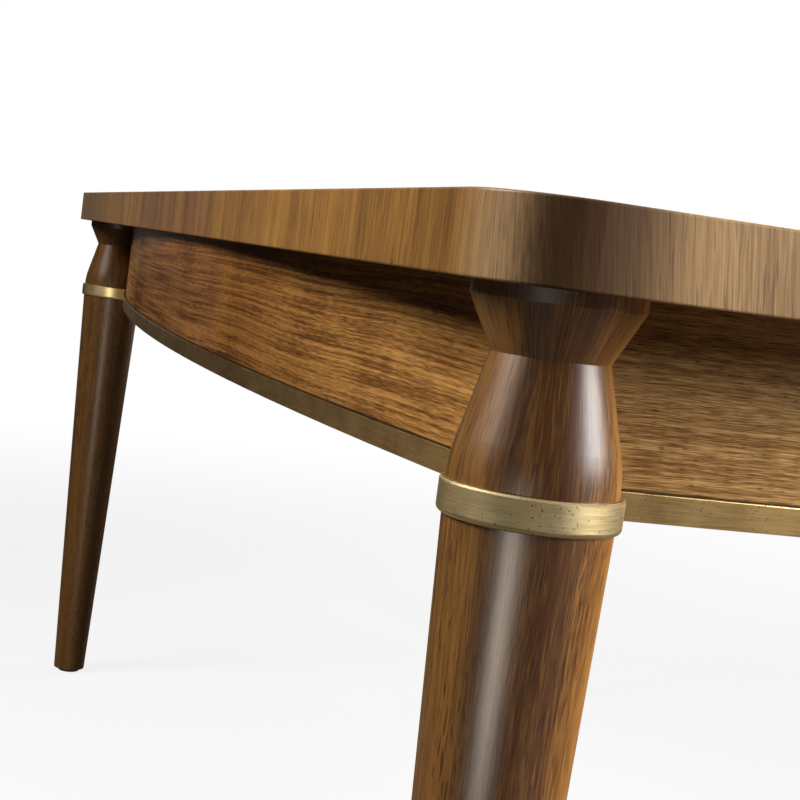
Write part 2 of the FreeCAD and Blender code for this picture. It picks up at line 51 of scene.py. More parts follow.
leg_low, leg_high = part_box("leg_front_b")
leg_axis_x = (leg_low.x + leg_high.x) / 2
leg_axis_y = (leg_low.y + leg_high.y) / 2
near_swell = Vector((leg_axis_x, leg_axis_y, swell_height))
strip_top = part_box("side_strips_b")[1].z
print("near leg stands at", round(leg_axis_x, 4), round(leg_axis_y, 4))
print("upper edge of the strip is at", round(strip_top, 4))

# %% [markdown]
# ## The eye
# The photograph looks along the table from beside its near corner, a few centimetres below the level of the
# top, with the camera rolled so that the table leans to the right. A camera can be aimed with a constraint,
# but then the roll about the line of sight has to be added by hand, so here the three axes of the picture
# are worked out from yaw, pitch and roll and written straight into the camera's matrix.

# %% Place the camera
eye = Vector((1.62922, -0.73243, 0.72417))
yaw = math.radians(-72.513)
pitch = math.radians(5.038)
roll = math.radians(7.585)
focal_length_mm = 71.43
sensor_mm = 36.0
nearest_shown = 0.05

forward = Vector((math.sin(yaw) * math.cos(pitch), math.cos(yaw) * math.cos(pitch), -math.sin(pitch)))
level_right = Vector((math.cos(yaw), -math.sin(yaw), 0))
level_down = forward.cross(level_right)
picture_right = level_right * math.cos(roll) - level_down * math.sin(roll)
picture_down = level_right * math.sin(roll) + level_down * math.cos(roll)

camera_data = bpy.data.cameras.new("photo_camera")
camera_data.lens = focal_length_mm
camera_data.sensor_width = sensor_mm
camera_data.clip_start = nearest_shown
camera = bpy.data.objects.new("photo_camera", camera_data)
scene.collection.objects.link(camera)
axes = Matrix((picture_right, -picture_down, -forward)).transposed()
camera.matrix_world = Matrix.Translation(eye) @ axes.to_4x4()
scene.camera = camera
print("camera at", tuple(eye), "looking along", tuple(round(v, 3) for v in forward))

# %% [markdown]
# ## Shader maths as plain expressions
# A procedural finish is a good deal of arithmetic, and wiring it node by node hides the idea. So one small
# class wraps a socket and turns each operator into a Math node: `1 - pores * 0.4` builds two nodes. A
# second class holds one material and has a single method that makes any other node from its type, its
# settings and its inputs. Colours and vectors go through Mix and Vector Math, because a Math node would
# turn them grey.

# %% A socket that can be calculated with
class Wire:
    """One output socket. Arithmetic on it adds Math nodes to its material."""

    def __init__(self, finish, socket):
        self.finish = finish
        self.socket = socket

    def math(self, operation, *values):
        return self.finish.node("ShaderNodeMath", {"operation": operation}, dict(enumerate(values)))

    def __add__(self, other):
        return self.math("ADD", self, other)

    def __radd__(self, other):
        return self.math("ADD", other, self)

    def __sub__(self, other):
        return self.math("SUBTRACT", self, other)

    def __rsub__(self, other):
        return self.math("SUBTRACT", other, self)

    def __mul__(self, other):
        return self.math("MULTIPLY", self, other)

    def __rmul__(self, other):
        return self.math("MULTIPLY", other, self)

    def __truediv__(self, other):
        return self.math("DIVIDE", self, other)

    def __rtruediv__(self, other):
        return self.math("DIVIDE", other, self)

    def __abs__(self):
        return self.math("ABSOLUTE", self)


print("a wire calculates with + - * / and abs")

# %% [markdown]
# ## A material under construction
# Nearly every layer of wood is the same thing, noise that has been pulled out along the grain, so it gets a
# method of its own: `grain` takes a place and says how many cells of noise fit in a metre along each axis.
# A plain number in a place only picks a slice of the noise, so that two layers don't repeat each other.
# `between` fades from 0 to 1 as a value goes from low to high, which is how a place on the table turns into
# a mask.

# %% The tools for a finish
class Finish:
    """One node material. node() makes any node; the other methods name the few that the finishes share."""

    def __init__(self, name, tree=None):
        if tree is None:
            self.material = bpy.data.materials.new(name)
            self.material.use_nodes = True
            tree = self.material.node_tree
        self.tree = tree
        self.tree.nodes.clear()

    def node(self, kind, settings=None, inputs=None, output=0):
        made = self.tree.nodes.new(kind)
        for key, value in (settings or {}).items():
            setattr(made, key, value)
        for key, value in (inputs or {}).items():
            if isinstance(value, Wire):
                self.tree.links.new(value.socket, made.inputs[key])
            else:
                made.inputs[key].default_value = value
        return Wire(self, made.outputs[output]) if len(made.outputs) else made

    def place(self):
        return self.node("ShaderNodeTexCoord", output="Object")

    def parts(self, vector):
        split = {"Vector": vector}
        return [self.node("ShaderNodeSeparateXYZ", inputs=split, output=axis) for axis in "XYZ"]

    def vector(self, x, y, z):
        return self.node("ShaderNodeCombineXYZ", inputs={"X": x, "Y": y, "Z": z})

    def distance(self, vector):
        return self.node("ShaderNodeVectorMath", {"operation": "LENGTH"}, {0: vector}, "Value")

    def noise(self, vector, scale=1.0, detail=2.0, roughness=0.5):
        inputs = {"Vector": vector, "Scale": scale, "Detail": detail, "Roughness": roughness}
        return self.node("ShaderNodeTexNoise", {"noise_dimensions": "3D"}, inputs, "Fac")

    def grain(self, place, per_metre, detail=1, layer=0.0, roughness=0.5):
        """Noise pulled out along the grain, with so many cells per metre along each axis of a place."""
        x, y, z = [part if rate == 1 else part * rate for part, rate in zip(place, per_metre)]
        return self.noise(self.vector(x, y, z + layer if layer else z), detail=detail, roughness=roughness)

    def between(self, value, low, high):
        """A smooth step from 0 to 1 as the value goes from low to high."""
        inputs = {"Value": value, "From Min": low, "From Max": high}
        return self.node("ShaderNodeMapRange", {"interpolation_type": "SMOOTHSTEP"}, inputs)

    def mix(self, share, first, second):
        return self.node("ShaderNodeMix", {"data_type": "RGBA"}, {0: share, 6: first, 7: second}, 2)

    def bump(self, height, distance, strength=1.0):
        inputs = {"Height": height, "Distance": distance, "Strength": strength}
        return self.node("ShaderNodeBump", inputs=inputs)

    def surface(self, **sockets):
        named = {key.replace("_", " "): value for key, value in sockets.items()}
        shader = self.node("ShaderNodeBsdfPrincipled", {"distribution": "MULTI_GGX"}, named)
        self.node("ShaderNodeOutputMaterial", inputs={"Surface": shader})
        return self.material


def colour(red, green, blue):
    """A colour named by its screen values, 0 to 255, as the linear colour that a shader works in."""
    linear = []
    for value in (red, green, blue):
        share = value / 255
        linear.append(share / 12.92 if share <= 0.04045 else ((share + 0.055) / 1.055) ** 2.4)
    return (*linear, 1.0)


print("shader tools ready: mid grey is", round(colour(128, 128, 128)[0], 3))

# %% [markdown]
# ## The studio floor
# The table was photographed on white, so it stands on a flat disc that reaches far beyond the view. A
# square would do as well, but a disc has no corner that could show at the horizon.

# %% The pale floor
floor_reach = 40.0
floor_segments = 64

floor_mesh = bpy.data.meshes.new("studio_floor")
builder = bmesh.new()
bmesh.ops.create_circle(builder, cap_ends=True, radius=floor_reach, segments=floor_segments)
builder.to_mesh(floor_mesh)
builder.free()
floor = bpy.data.objects.new("studio_floor", floor_mesh)
scene.collection.objects.link(floor)
print("floor reaches", floor_reach, "m")

# %% [markdown]
# ## The two faces of the floor
# A floor that is simply bright would throw its light back up under the apron, where the photograph is
# almost black. So the floor has two faces: the eye and the mirrors of brass and lacquer see it white, with
# the table's shadow on it, while for the bounce of soft light it is dark and a little warm. Far from the
# table it fades into a plain white that no lamp has to reach. From below it lets the eye through, so that
# the slides and the leaf can be looked at.

# %% White to the eye, dark to the bounce
shadow_share = 0.16
fade_start = 1.6
fade_end = 4.2
pure_white = (1, 1, 1, 1)
paper_white = (0.92, 0.92, 0.92, 1)
warm_bounce = (0.070, 0.056, 0.040, 1)


def seen_directly(finish):
    """One for a ray from the eye, a mirror or glass, and zero for soft bounced light."""
    rays = [finish.node("ShaderNodeLightPath", output=ray)
            for ray in ("Is Camera Ray", "Is Glossy Ray", "Is Transmission Ray")]
    return rays[0].math("MAXIMUM", rays[0], rays[1].math("MAXIMUM", rays[1], rays[2]))


paper = Finish("studio_floor")
plain = paper.between(paper.distance(paper.place()), fade_start, fade_end)
lit = paper.node("ShaderNodeBsdfDiffuse", inputs={"Color": paper_white})
white = paper.node("ShaderNodeEmission", inputs={"Color": pure_white, "Strength": 1.0})
shown = paper.node("ShaderNodeMixShader", inputs={0: 1 - shadow_share * (1 - plain), 1: lit, 2: white})
bounce = paper.node("ShaderNodeBsdfDiffuse", inputs={"Color": warm_bounce})
floor_front = paper.node("ShaderNodeMixShader", inputs={0: seen_directly(paper), 1: bounce, 2: shown})
from_below = paper.node("ShaderNodeNewGeometry", output="Backfacing")
see_through = paper.node("ShaderNodeBsdfTransparent")
floor_shader = paper.node("ShaderNodeMixShader", inputs={0: from_below, 1: floor_front, 2: see_through})
paper.node("ShaderNodeOutputMaterial", inputs={"Surface": floor_shader})
floor_mesh.materials.append(paper.material)
print(paper.material.name, "has", len(paper.tree.nodes), "nodes")

# %% [markdown]
# ## The sky of the studio
# The world behind the floor has two faces as well: white to the eye and to mirrors, and a weak even fill
# for everything else. One strength for all of them would be simpler, but a sky as bright as the backdrop
# would light the hollow under the top, which is nearly black in the photograph.

# %% White behind, a weak fill all round
fill_strength = 0.009

world = bpy.data.worlds.new("studio")
world.use_nodes = True
scene.world = world
sky = Finish("studio", world.node_tree)
sky_white = sky.node("ShaderNodeBackground", inputs={"Color": pure_white, "Strength": 1.0})
sky_fill = sky.node("ShaderNodeBackground", inputs={"Color": pure_white, "Strength": fill_strength})
sky_shader = sky.node("ShaderNodeMixShader", inputs={0: seen_directly(sky), 1: sky_fill, 2: sky_white})
sky.node("ShaderNodeOutputWorld", inputs={"Surface": sky_shader})
scene.view_settings.view_transform = "Standard"
print("world fill is", fill_strength)

# %% [markdown]
# ## Soft boxes
# Two soft boxes draw the two upright highlights on the swell of the leg: one stands off the long side, the
# other off the near end. Two more are for whoever walks round the table, one overhead and one behind. The
# brightness of a box is given as radiance, and its power follows from its area. That way a box can be made
# larger without making its reflection brighter.

# %% Lamps
def around(point, azimuth, elevation, distance):
    """The place that lies in a direction from a point, by azimuth from +X and elevation, in degrees."""
    turn = math.radians(azimuth)
    rise = math.radians(elevation)
    step = Vector((math.cos(turn) * math.cos(rise), math.sin(turn) * math.cos(rise), math.sin(rise)))
    return point + step * distance


def soft_box(name, centre, aim, width, height, radiance, spread=180.0):
    lamp = bpy.data.lights.new(name, "AREA")
    lamp.shape = "RECTANGLE"
    lamp.size = width
    lamp.size_y = height
    lamp.energy = radiance * math.pi * width * height
    lamp.spread = math.radians(spread)
    box = bpy.data.objects.new(name, lamp)
    box.location = centre
    box.rotation_euler = (Vector(aim) - Vector(centre)).to_track_quat("-Z", "Y").to_euler()
    box.visible_camera = False
    scene.collection.objects.link(box)
    print(name, "at", tuple(round(v, 2) for v in centre), "radiance", radiance)
    return box


side_place = around(near_swell, azimuth=-107, elevation=34, distance=2.6)
end_place = around(near_swell, azimuth=64, elevation=21, distance=1.5)
soft_box("side_box", side_place, aim=near_swell, width=1.7, height=1.1, radiance=7.7, spread=110)
soft_box("end_box", end_place, aim=near_swell, width=0.76, height=0.58, radiance=45.0)
soft_box("overhead_box", (0, 0, 3.2), aim=(0, 0, 0.7), width=2.2, height=1.6, radiance=0.6)
soft_box("rear_box", (-2.2, 2.2, 2.0), aim=(0, 0, 0.6), width=1.6, height=1.6, radiance=4.0)

# %% [markdown]
# ## Two lamps for the legs alone
# The shaft below the ring shows one soft upright streak, and the flare under the top is lit from below, yet
# the apron beside them gets none of that light. A photographer does that with a narrow card and a small
# kicker that are flagged off from everything else. Here light linking is the flag: both lamps reach only a
# collection with the legs in it, and the far ring. The card is seen in the lacquer but throws no light, and
# the kicker throws light but is not seen.

# %% A card for the streak and a kicker
card_place = (2.1, -1.4, 0.12)
card_aim = (leg_axis_x, leg_axis_y, 0.5)
card_tint = (1.0, 0.92, 0.80)
kick_place = around(near_swell, azimuth=40, elevation=-38, distance=0.9)

legs = bpy.data.collections.new("legs")
for name in ("leg_front_a", "leg_front_b", "leg_rear_a", "leg_rear_b", "ring_front_a"):
    legs.objects.link(nodes[name])

streak_card = soft_box("streak_card", card_place, aim=card_aim, width=0.5, height=0.24, radiance=60.0)
streak_card.visible_diffuse = False
streak_card.data.color = card_tint
kick_box = soft_box("kick_box", kick_place, aim=near_swell, width=0.5, height=0.4, radiance=8.5)
kick_box.visible_glossy = False
for box in (streak_card, kick_box):
    box.light_linking.receiver_collection = legs

# %% [markdown]
# ## Dark cloths
# Lacquer and brass are mirrors, and in the photograph they mirror a dark room on the side of the camera. A
# darker world would do that too, but then the white behind the table would be gone from the mirrors as
# well. A photographer hangs black cloth instead. Ours is part of a dome with a floor piece, open towards
# the back, and only mirror rays meet it: it throws no shadow and hides nothing from the eye.

# %% Cloth round the camera's side
cloth_radius = 6.5
cloth_from = -190.0
cloth_to = 100.0
cloth_height = 58.0
cloth_steps = 29
cloth_rows = 6
disc_steps = 36
disc_lift = 0.0005


def cloth_point(column, row):
    azimuth = cloth_from + (cloth_to - cloth_from) * column / cloth_steps
    return around(Vector((0, 0, 0)), azimuth, cloth_height * row / cloth_rows, cloth_radius)


cloth_mesh = bpy.data.meshes.new("dark_cloth")
builder = bmesh.new()
grid = [[builder.verts.new(cloth_point(column, row)) for row in range(cloth_rows + 1)]
        for column in range(cloth_steps + 1)]
for left, right in zip(grid, grid[1:]):
    for row in range(cloth_rows):
        builder.faces.new((left[row], right[row], right[row + 1], left[row + 1]))
disc_middle = Vector((0, 0, disc_lift))
disc_angles = [360 / disc_steps * step for step in range(disc_steps)]
disc = [builder.verts.new(around(disc_middle, angle, 0, cloth_radius)) for angle in disc_angles]
builder.faces.new(disc)
builder.to_mesh(cloth_mesh)
builder.free()
cloth = bpy.data.objects.new("dark_cloth", cloth_mesh)
scene.collection.objects.link(cloth)
for rays in ("camera", "diffuse", "shadow", "transmission", "volume_scatter"):
    setattr(cloth, "visible_" + rays, False)
print("cloth has", len(cloth_mesh.polygons), "faces")

# %% [markdown]
# ## What the lacquer and the brass mirror
# A room is never dark all over, and the pale places in it are what makes brass look like brass. Each one is
# a soft patch of glow on the cloth, placed where a mirror ray from the strip, the ring or the far edge ends
# up: the far wall, four stretches of floor and the shade under the table.

# %% Paint the pale patches
cloth_dark = (0.012, 0.0115, 0.01, 1)
cloth_fold = (0.03, 0.029, 0.026, 1)
wall_slant = 0.35

drape = Finish("dark_cloth")
drape_place = drape.place()
east, north, up = drape.parts(drape_place)
west = 0 - east
south = 0 - north
on_floor = 1 - drape.between(up, 0.1, 0.3)

wall_edge = north + drape.between(up, 0.45, 0.65) * wall_slant
above_sill = drape.between(up, 0.38, 0.58)
far_wall = drape.between(wall_edge, -1.1, -0.6) * drape.between(west, 4.0, 5.0) * above_sill
beside_far_end = drape.between(west, 1.2, 3.0) * (1 - drape.between(west, 3.4, 4.4))
side_far_floor = drape.between(south, 1.9, 3.1) * beside_far_end * on_floor
under_table = 1 - drape.between(drape.distance(drape_place), 1.0, 2.0)
end_floor = drape.between(east, 2.0, 3.0) * drape.between(north, 0.6, 1.4) * on_floor
camera_floor = drape.between(east, 3.0, 4.0) * (1 - drape.between(north, -1.0, 0.6)) * on_floor
side_near_floor = drape.between(south, 2.4, 3.4) * drape.between(east, -1.0, 0.5) * on_floor

patches = (
    (far_wall, (1.0, 1.0, 0.98, 1)),
    (side_far_floor, (0.9, 0.74, 0.56, 1)),
    (under_table, (0.25, 0.22, 0.17, 1)),
    (end_floor, (1.0, 0.98, 0.94, 1)),
    (camera_floor, (1.0, 0.90, 0.74, 1)),
    (side_near_floor, (0.6, 0.58, 0.54, 1)),
)
glow = drape.mix(drape.noise(drape_place, 0.8), cloth_dark, cloth_fold)
for patch, tint in patches:
    glow = drape.mix(patch, glow, tint)
drape_shader = drape.node("ShaderNodeEmission", inputs={"Color": glow})
drape.node("ShaderNodeOutputMaterial", inputs={"Surface": drape_shader})
cloth_mesh.materials.append(drape.material)
print(len(patches), "pale patches on the cloth")

# %% [markdown]
# ## Lacquer
# All the walnut has the same satin lacquer. It could be one rough gloss on the wood, but then a highlight
# would follow every pore. So the wood itself has no gloss, only a roughness that follows its grain, and an
# even clear coat lies on top, heaviest on the legs and the edge and lightest on the top.

# %% Lacquer over any wood
satin = 0.46
pore_roughness = 0.1
grain_depth = 0.0003
grain_strength = 0.15


def lacquered(finish, shade, grain_height, pores, coat, coat_roughness=0.36, sheen=satin):
    """Wood of a given shade under lacquer. The grain's height is the relief that is left to feel."""
    return finish.surface(
        Base_Color=shade,
        Roughness=sheen + pores * pore_roughness,
        Specular_IOR_Level=0.0,
        Coat_Weight=coat,
        Coat_Roughness=coat_roughness,
        Normal=finish.bump(grain_height, grain_depth, grain_strength),
    )


print("lacquer is satin, roughness", satin)

# %% [markdown]
# ## Walnut on the edge of the top
# The edge is a veneer laid with its grain upright, so it shows fine vertical lines, short dark pores and
# broad soft bands: one noise, pulled out along Z, at four scales. Its place is taken in metres from the
# frame, so the grain goes round the rounded corner without a seam and needs no unwrapping. At a given
# distance from the middle the sheet changes, and the wood beyond it is yellower. Round the corner its grain
# leans and its colour is painted paler and greyer: painted sheen and light of the lit end. Where the corner
# runs out into the end a dark band is painted: painted shade, where the curve turns away from both lamps.

# %% Edge veneer
veneer_joint = 0.232
joint_softness = 0.009
corner_turn = (0.90, 0.96)
# Where the dark band of painted shade lies, round the corner into the end.
corner_shade_x = (0.952, 0.970)
corner_shade_y = (0.380, 0.442)
end_lean = 0.165


def inner_sheet(wood, x):
    """One on the sheets of veneer next to the seam of the table, zero beyond their joint."""
    return 1 - wood.between(abs(x), veneer_joint - joint_softness, veneer_joint + joint_softness)


def edge_veneer():
    wood = Finish("walnut_edge_veneer")
    x, y, z = wood.parts(wood.place())
    at_end = wood.between(abs(x), *corner_turn)
    lean = (wood.grain((x, y, z), (7, 7, 9)) - 0.5) * 0.006
    place = (x + lean, y + lean + at_end * z * end_lean, z)
    bands = wood.grain(place, (28, 28, 1.2), detail=2)
    lines = wood.grain(place, (480, 480, 6), detail=2)
    fine = wood.grain(place, (1000, 1000, 26))
    pores = wood.between(wood.grain(place, (800, 800, 45), detail=0), 0.62, 0.74)
    inner = inner_sheet(wood, x)
    # Round the corner the colours turn paler and greyer: painted sheen and light of the lit end face.
    light = wood.mix(inner, wood.mix(at_end, colour(147, 104, 47), colour(172, 138, 96)), colour(130, 88, 47))
    dark = wood.mix(inner, wood.mix(at_end, colour(78, 48, 18), colour(116, 87, 56)), colour(67, 41, 20))
    # A dark band painted where the corner runs out into the end: painted shade, where the curve faces neither
    # lamp.
    painted_shade = wood.between(abs(x), *corner_shade_x) * wood.between(abs(y), *corner_shade_y)
    tone = wood.between(bands * 0.40 + lines * 0.30 + fine * 0.30 - painted_shade * 0.08, 0.29, 0.71)
    shade = wood.mix(tone, dark, light)
    shade = wood.mix(painted_shade * 0.85, shade, colour(52, 28, 9))
    shade = wood.mix(pores * (0.5 - at_end * 0.2), shade, colour(46, 28, 13))
    return lacquered(wood, shade, fine - pores, pores, coat=0.55)


walnut_edge = edge_veneer()
print(walnut_edge.name, "has", len(walnut_edge.node_tree.nodes), "nodes")

# %% [markdown]
# ## Walnut on the apron
# The apron is veneered lengthways with a rippled sheet: long lines that waver, crossed by soft light bands,
# with many short dark dashes where the pores are cut. The recipe is the one of the edge turned on its side,
# and the waver is a slow noise added to the height before the grain is looked up. Just above the strip a
# dark line is painted on the veneer: painted shade, in the corner where the proud strip meets the apron.

# %% The grain of the apron
dash_colour = colour(44, 26, 11)
# A dark line painted just above the strip: painted shade.
gap_shade_colour = colour(26, 15, 7)
gap_shade_from = 0.0002
gap_shade_to = 0.0016


def apron_veneer(wood, along, z, shares, dashes_per_metre, light, dark):
    """A lengthways veneer. The shares weigh its clouds, its crossing figure, its stripes and its fibres."""
    cloud_share, figure_share, stripe_share, fibre_share = shares
    waver = wood.grain((along, 0.0, z), (2.5, 1, 7)) - 0.5
    ripple = wood.grain((along, 7.0, z), (30, 1, 24)) - 0.5
    level = z + waver * 0.012 + ripple * 0.0012
    clouds = wood.grain((along, 3.0, level), (4, 1, 40), detail=2)
    figure = wood.grain((along, 21.0, z), (13, 1, 4))
    stripes = wood.grain((along, 5.0, level), (5, 1, 420))
    fibres = wood.grain((along, 9.0, level), (60, 1, 1850))
    crowd = wood.grain((along, 13.0, level), (12, 1, 70)) - 0.5
    dashes = wood.grain((along, 11.0, level), (dashes_per_metre, 1, 1500), detail=0)
    dashes = wood.between(dashes + crowd * 0.30, 0.61, 0.77)
    tone = clouds * cloud_share + figure * figure_share + stripes * stripe_share + fibres * fibre_share
    # Painted shade: a dark line on the veneer just above the strip.
    strip_gap_shade = 1 - wood.between(z, strip_top + gap_shade_from, strip_top + gap_shade_to)
    shade = wood.mix(wood.between(tone, 0.38, 0.62), dark, light)
    shade = wood.mix(dashes * 0.6, shade, dash_colour)
    shade = wood.mix(strip_gap_shade * 0.85, shade, gap_shade_colour)
    return lacquered(wood, shade, fibres - dashes * 0.5, dashes, coat=0.3)


print("apron veneer has a dark line up to", round(gap_shade_to * 1000, 1), "mm over the strip")

# %% [markdown]
# ## Two sheets for the apron
# The side aprons run along X. Their sheet changes at the same joint as the edge above them, and it is painted
# lighter towards the ends of the table: painted light. The end aprons run along Y, with a finer sheet that is
# painted paler than the side: painted light of the brightly lit end. One function could ask which apron it
# is making, but two short ones that each bring their own shares and colours are easier to read and to change.

# %% Side and end aprons
def side_apron_veneer():
    wood = Finish("walnut_side_veneer")
    x, _, z = wood.parts(wood.place())
    inner = inner_sheet(wood, x)
    # Lighter towards the ends of the table: painted light.
    lit_towards_ends = wood.between(abs(x), 0.30, 0.75)
    light = wood.mix(inner, wood.mix(lit_towards_ends, colour(126, 83, 38), colour(177, 128, 67)), colour(130, 87, 47))
    dark = wood.mix(inner, wood.mix(lit_towards_ends, colour(55, 29, 10), colour(85, 50, 20)), colour(66, 37, 17))
    shares = (0.17, 0.14, 0.39, 0.30)
    return apron_veneer(wood, x, z, shares, dashes_per_metre=70, light=light, dark=dark)


def end_apron_veneer():
    wood = Finish("walnut_end_veneer")
    _, y, z = wood.parts(wood.place())
    # Paler than the side apron: painted light of the end, which its lamp lights more brightly.
    light = colour(202, 160, 102)
    dark = colour(114, 77, 39)
    shares = (0.15, 0.12, 0.25, 0.48)
    return apron_veneer(wood, y, z, shares, dashes_per_metre=150, light=light, dark=dark)


walnut_side = side_apron_veneer()
walnut_end = end_apron_veneer()
print(walnut_side.name, "and", walnut_end.name, "ready")

# %% [markdown]
# ## Walnut of the legs
# The legs are turned from the solid, so their grain runs up through the wood and comes out in long streaks,
# some of them nearly black. One side of each leg, turned out towards the table's end, is painted darker:
# painted shade, for the part of the swell that lies between the highlights of the two lamps. Grain looked up
# in plain space would smear on the slope of the flare. So it is looked up by direction from the leg's axis,
# on a cylinder of one radius: every streak then runs on from the flare to the foot and narrows where the neck
# narrows. Each leg has its own place in the noise, so that no two are alike.

# %% Turned and lacquered walnut
grain_radius = 0.042
legs_apart_x = 0.3
legs_apart_y = 0.7
# The direction of the side that is darkened with painted shade.
shade_side_x = 0.92
shade_side_y = 0.38


def turned_walnut():
    wood = Finish("walnut_turned")
    x, y, z = wood.parts(wood.place())
    dx = abs(x) - abs(leg_axis_x)
    dy = abs(y) - abs(leg_axis_y)
    away = x.math("SQRT", dx * dx + dy * dy)
    round_x = dx / away * grain_radius + x.math("SIGN", x) * legs_apart_x
    round_y = dy / away * grain_radius + y.math("SIGN", y) * legs_apart_y
    sway = wood.grain((round_x, round_y, z), (6, 6, 5)) - 0.5
    place = (round_x + sway * 0.010, round_y + sway * 0.008, z)
    clouds = wood.grain(place, (22, 22, 1.5), detail=2)
    streaks = wood.grain(place, (200, 200, 8), detail=2)
    fibres = wood.grain(place, (1100, 1100, 42))
    crowd = wood.grain(place, (40, 40, 8), layer=9.0) - 0.5
    dashes = wood.grain(place, (1000, 1000, 95), detail=0, layer=4.0)
    dashes = wood.between(dashes + crowd * 0.45, 0.62, 0.78)
    # Darker on the side facing out towards the table's end: painted shade.
    painted_shade = wood.between((dx * shade_side_x + dy * shade_side_y) / away, 0.72, 1.0)
    tone = wood.between(clouds * 0.46 + streaks * 0.19 + fibres * 0.35 - painted_shade * 0.13, 0.30, 0.66)
    shade = wood.mix(tone, colour(60, 33, 11), colour(126, 86, 40))
    shade = wood.mix(dashes * 0.65, shade, colour(36, 20, 9))
    return lacquered(wood, shade, fibres - dashes * 0.5, dashes, coat=0.54)


walnut_leg = turned_walnut()
print(walnut_leg.name, "has", len(walnut_leg.node_tree.nodes), "nodes")

# %% [markdown]
# ## Walnut on the top and the leaf
# The top lies above the eye of the photograph, so its pattern is free: sheets of veneer cut one after
# another from a log and opened like the pages of a book, so that each joint is a mirror. A ping-pong of the
# place across the table gives the mirrored sheets, and growth rings cut at a slant give the pointed arches
# of flat-sawn walnut. The figure changes a little from one sheet to the next, as it does through a log.

# %% Book-matched veneer
sheet_width = 0.176
sheets_before_middle = 4
sheet_change = 0.09


def book_matched(name, lift):
    wood = Finish(name)
    x, y, _ = wood.parts(wood.place())
    across = y.math("PINGPONG", y + sheets_before_middle * sheet_width, sheet_width)
    sheet = y.math("FLOOR", y / sheet_width)
    slow = wood.grain((x, across, sheet * sheet_change + lift), (1.3, 4, 1), detail=2) - 0.5
    fine = wood.grain((x, across, lift + 3), (5, 30, 1), detail=2) - 0.5
    arch = across.math("POWER", abs(x * 0.085 + slow * 0.16), 2.0) * 9
    rings = across * 16 + arch * 7 + slow * 3.2 + fine * 0.5
    ring = rings.math("FRACT", rings)
    late = wood.between(ring, 0.55, 0.97) * (1 - wood.between(ring, 0.97, 1.0))
    fibres = wood.grain((x, across, lift + 5), (9, 700, 1), detail=3, roughness=0.6)
    clouds = wood.grain((x, across, lift + 9), (2.2, 14, 1), detail=3)
    pores = wood.grain((x, across, lift + 11), (110, 1500, 1))
    pores = wood.between(pores + late * 0.06, 0.60, 0.70)
    tone = wood.between(clouds * 0.55 + fibres * 0.45 - late * 0.16, 0.28, 0.62)
    shade = wood.mix(tone, colour(88, 58, 32), colour(150, 108, 64))
    shade = wood.mix(pores * 0.5, shade, colour(54, 34, 18))
    return lacquered(wood, shade, fibres - pores * 0.5, pores, coat=0.12, coat_roughness=0.5, sheen=0.50)


walnut_top = book_matched("walnut_top_veneer", lift=0.0)
walnut_leaf = book_matched("walnut_leaf_veneer", lift=20.0)
print(walnut_top.name, "and", walnut_leaf.name, "with sheets", sheet_width, "m wide")

# %% [markdown]
# ## Aged brass
# The strip and the rings are cast and brushed brass that has darkened with age. Brushing runs along the
# strip and round the ring, and both lie level, so one noise squeezed flat in Z draws the lines for both.
# The small casting pits could be modelled, but there are thousands of them, so they come from a texture of
# random cells: each cell draws its own size of pit, and most have none at all. The strip is darker and
# redder than the rings, and its darkness is painted shade, for the dark room that it mirrors. Along its
# upper edge a dark line is painted as shade, over a rounded arris in the bump that catches the light.

# %% Brushed and pitted brass
pits_per_metre = 720.0
strip_shade_colour = colour(30, 20, 10)
pit_colour = colour(44, 33, 20)
strip_shade_from = 0.0002
strip_shade_to = 0.0001
arris_width = 0.0010
arris_drop = 0.0003
brush_depth = 0.000008


def aged_brass(name, light, dark, pit_share, upper_edge, dullness):
    metal = Finish(name)
    place = metal.place()
    x, y, z = metal.parts(place)
    brush = metal.grain((x, y, z), (40, 40, 3200), detail=2)
    patina = metal.noise(place, 40, detail=3)
    cells = {"Vector": place, "Scale": pits_per_metre}
    spread = metal.node("ShaderNodeTexVoronoi", {"feature": "F1"}, cells, "Distance")
    chance = metal.node("ShaderNodeTexVoronoi", {"feature": "F1"}, cells, "Color")
    lot = metal.between(metal.parts(chance)[0], 1 - pit_share, 1.0)
    pit = metal.between(lot * lot * 0.40 - spread, 0.0, 0.12)
    # Painted shade: a dark line along the strip's upper edge, above the arris bump.
    strip_gap_shade = metal.between(z, strip_top - strip_shade_from, strip_top - strip_shade_to) * upper_edge
    arris = metal.between(z, strip_top - arris_width, strip_top) * upper_edge
    shade = metal.mix(metal.between(brush * 0.55 + patina * 0.45, 0.32, 0.66), dark, light)
    shade = metal.mix(strip_gap_shade, shade, strip_shade_colour)
    shade = metal.mix(pit * 0.9, shade, pit_colour)
    return metal.surface(
        Base_Color=shade,
        Metallic=1 - pit * 0.6,
        Roughness=dullness + brush * 0.12 + pit * 0.3,
        Normal=metal.bump(brush * brush_depth - arris * arris_drop, distance=1.0),
    )


brass = aged_brass("brass_aged", colour(222, 202, 156), colour(182, 158, 112),
                   pit_share=0.42, upper_edge=0.0, dullness=0.34)
# A darker, redder copy of the brass for the strips; its darkness is painted shade for the dark room it
# mirrors.
brass_strip = aged_brass("brass_strip", colour(204, 171, 116), colour(159, 126, 79),
                         pit_share=0.42, upper_edge=0.9, dullness=0.26)
brass_pin = aged_brass("brass_turned", colour(232, 202, 138), colour(200, 166, 98),
                       pit_share=0.05, upper_edge=0.0, dullness=0.30)
print(brass.name, brass_strip.name, "and", brass_pin.name, "ready")

# %% [markdown]
# ## The plain woods inside
# What nobody sees on a closed table is made of plainer stuff: beech for the rails that rub, poplar for
# blocks and build-up. Walnut in other colours would look wrong on them, because both are left bare: they
# have no coat and scatter light like planed wood. Beech has small dark flecks along its grain, and poplar
# has soft greenish bands.

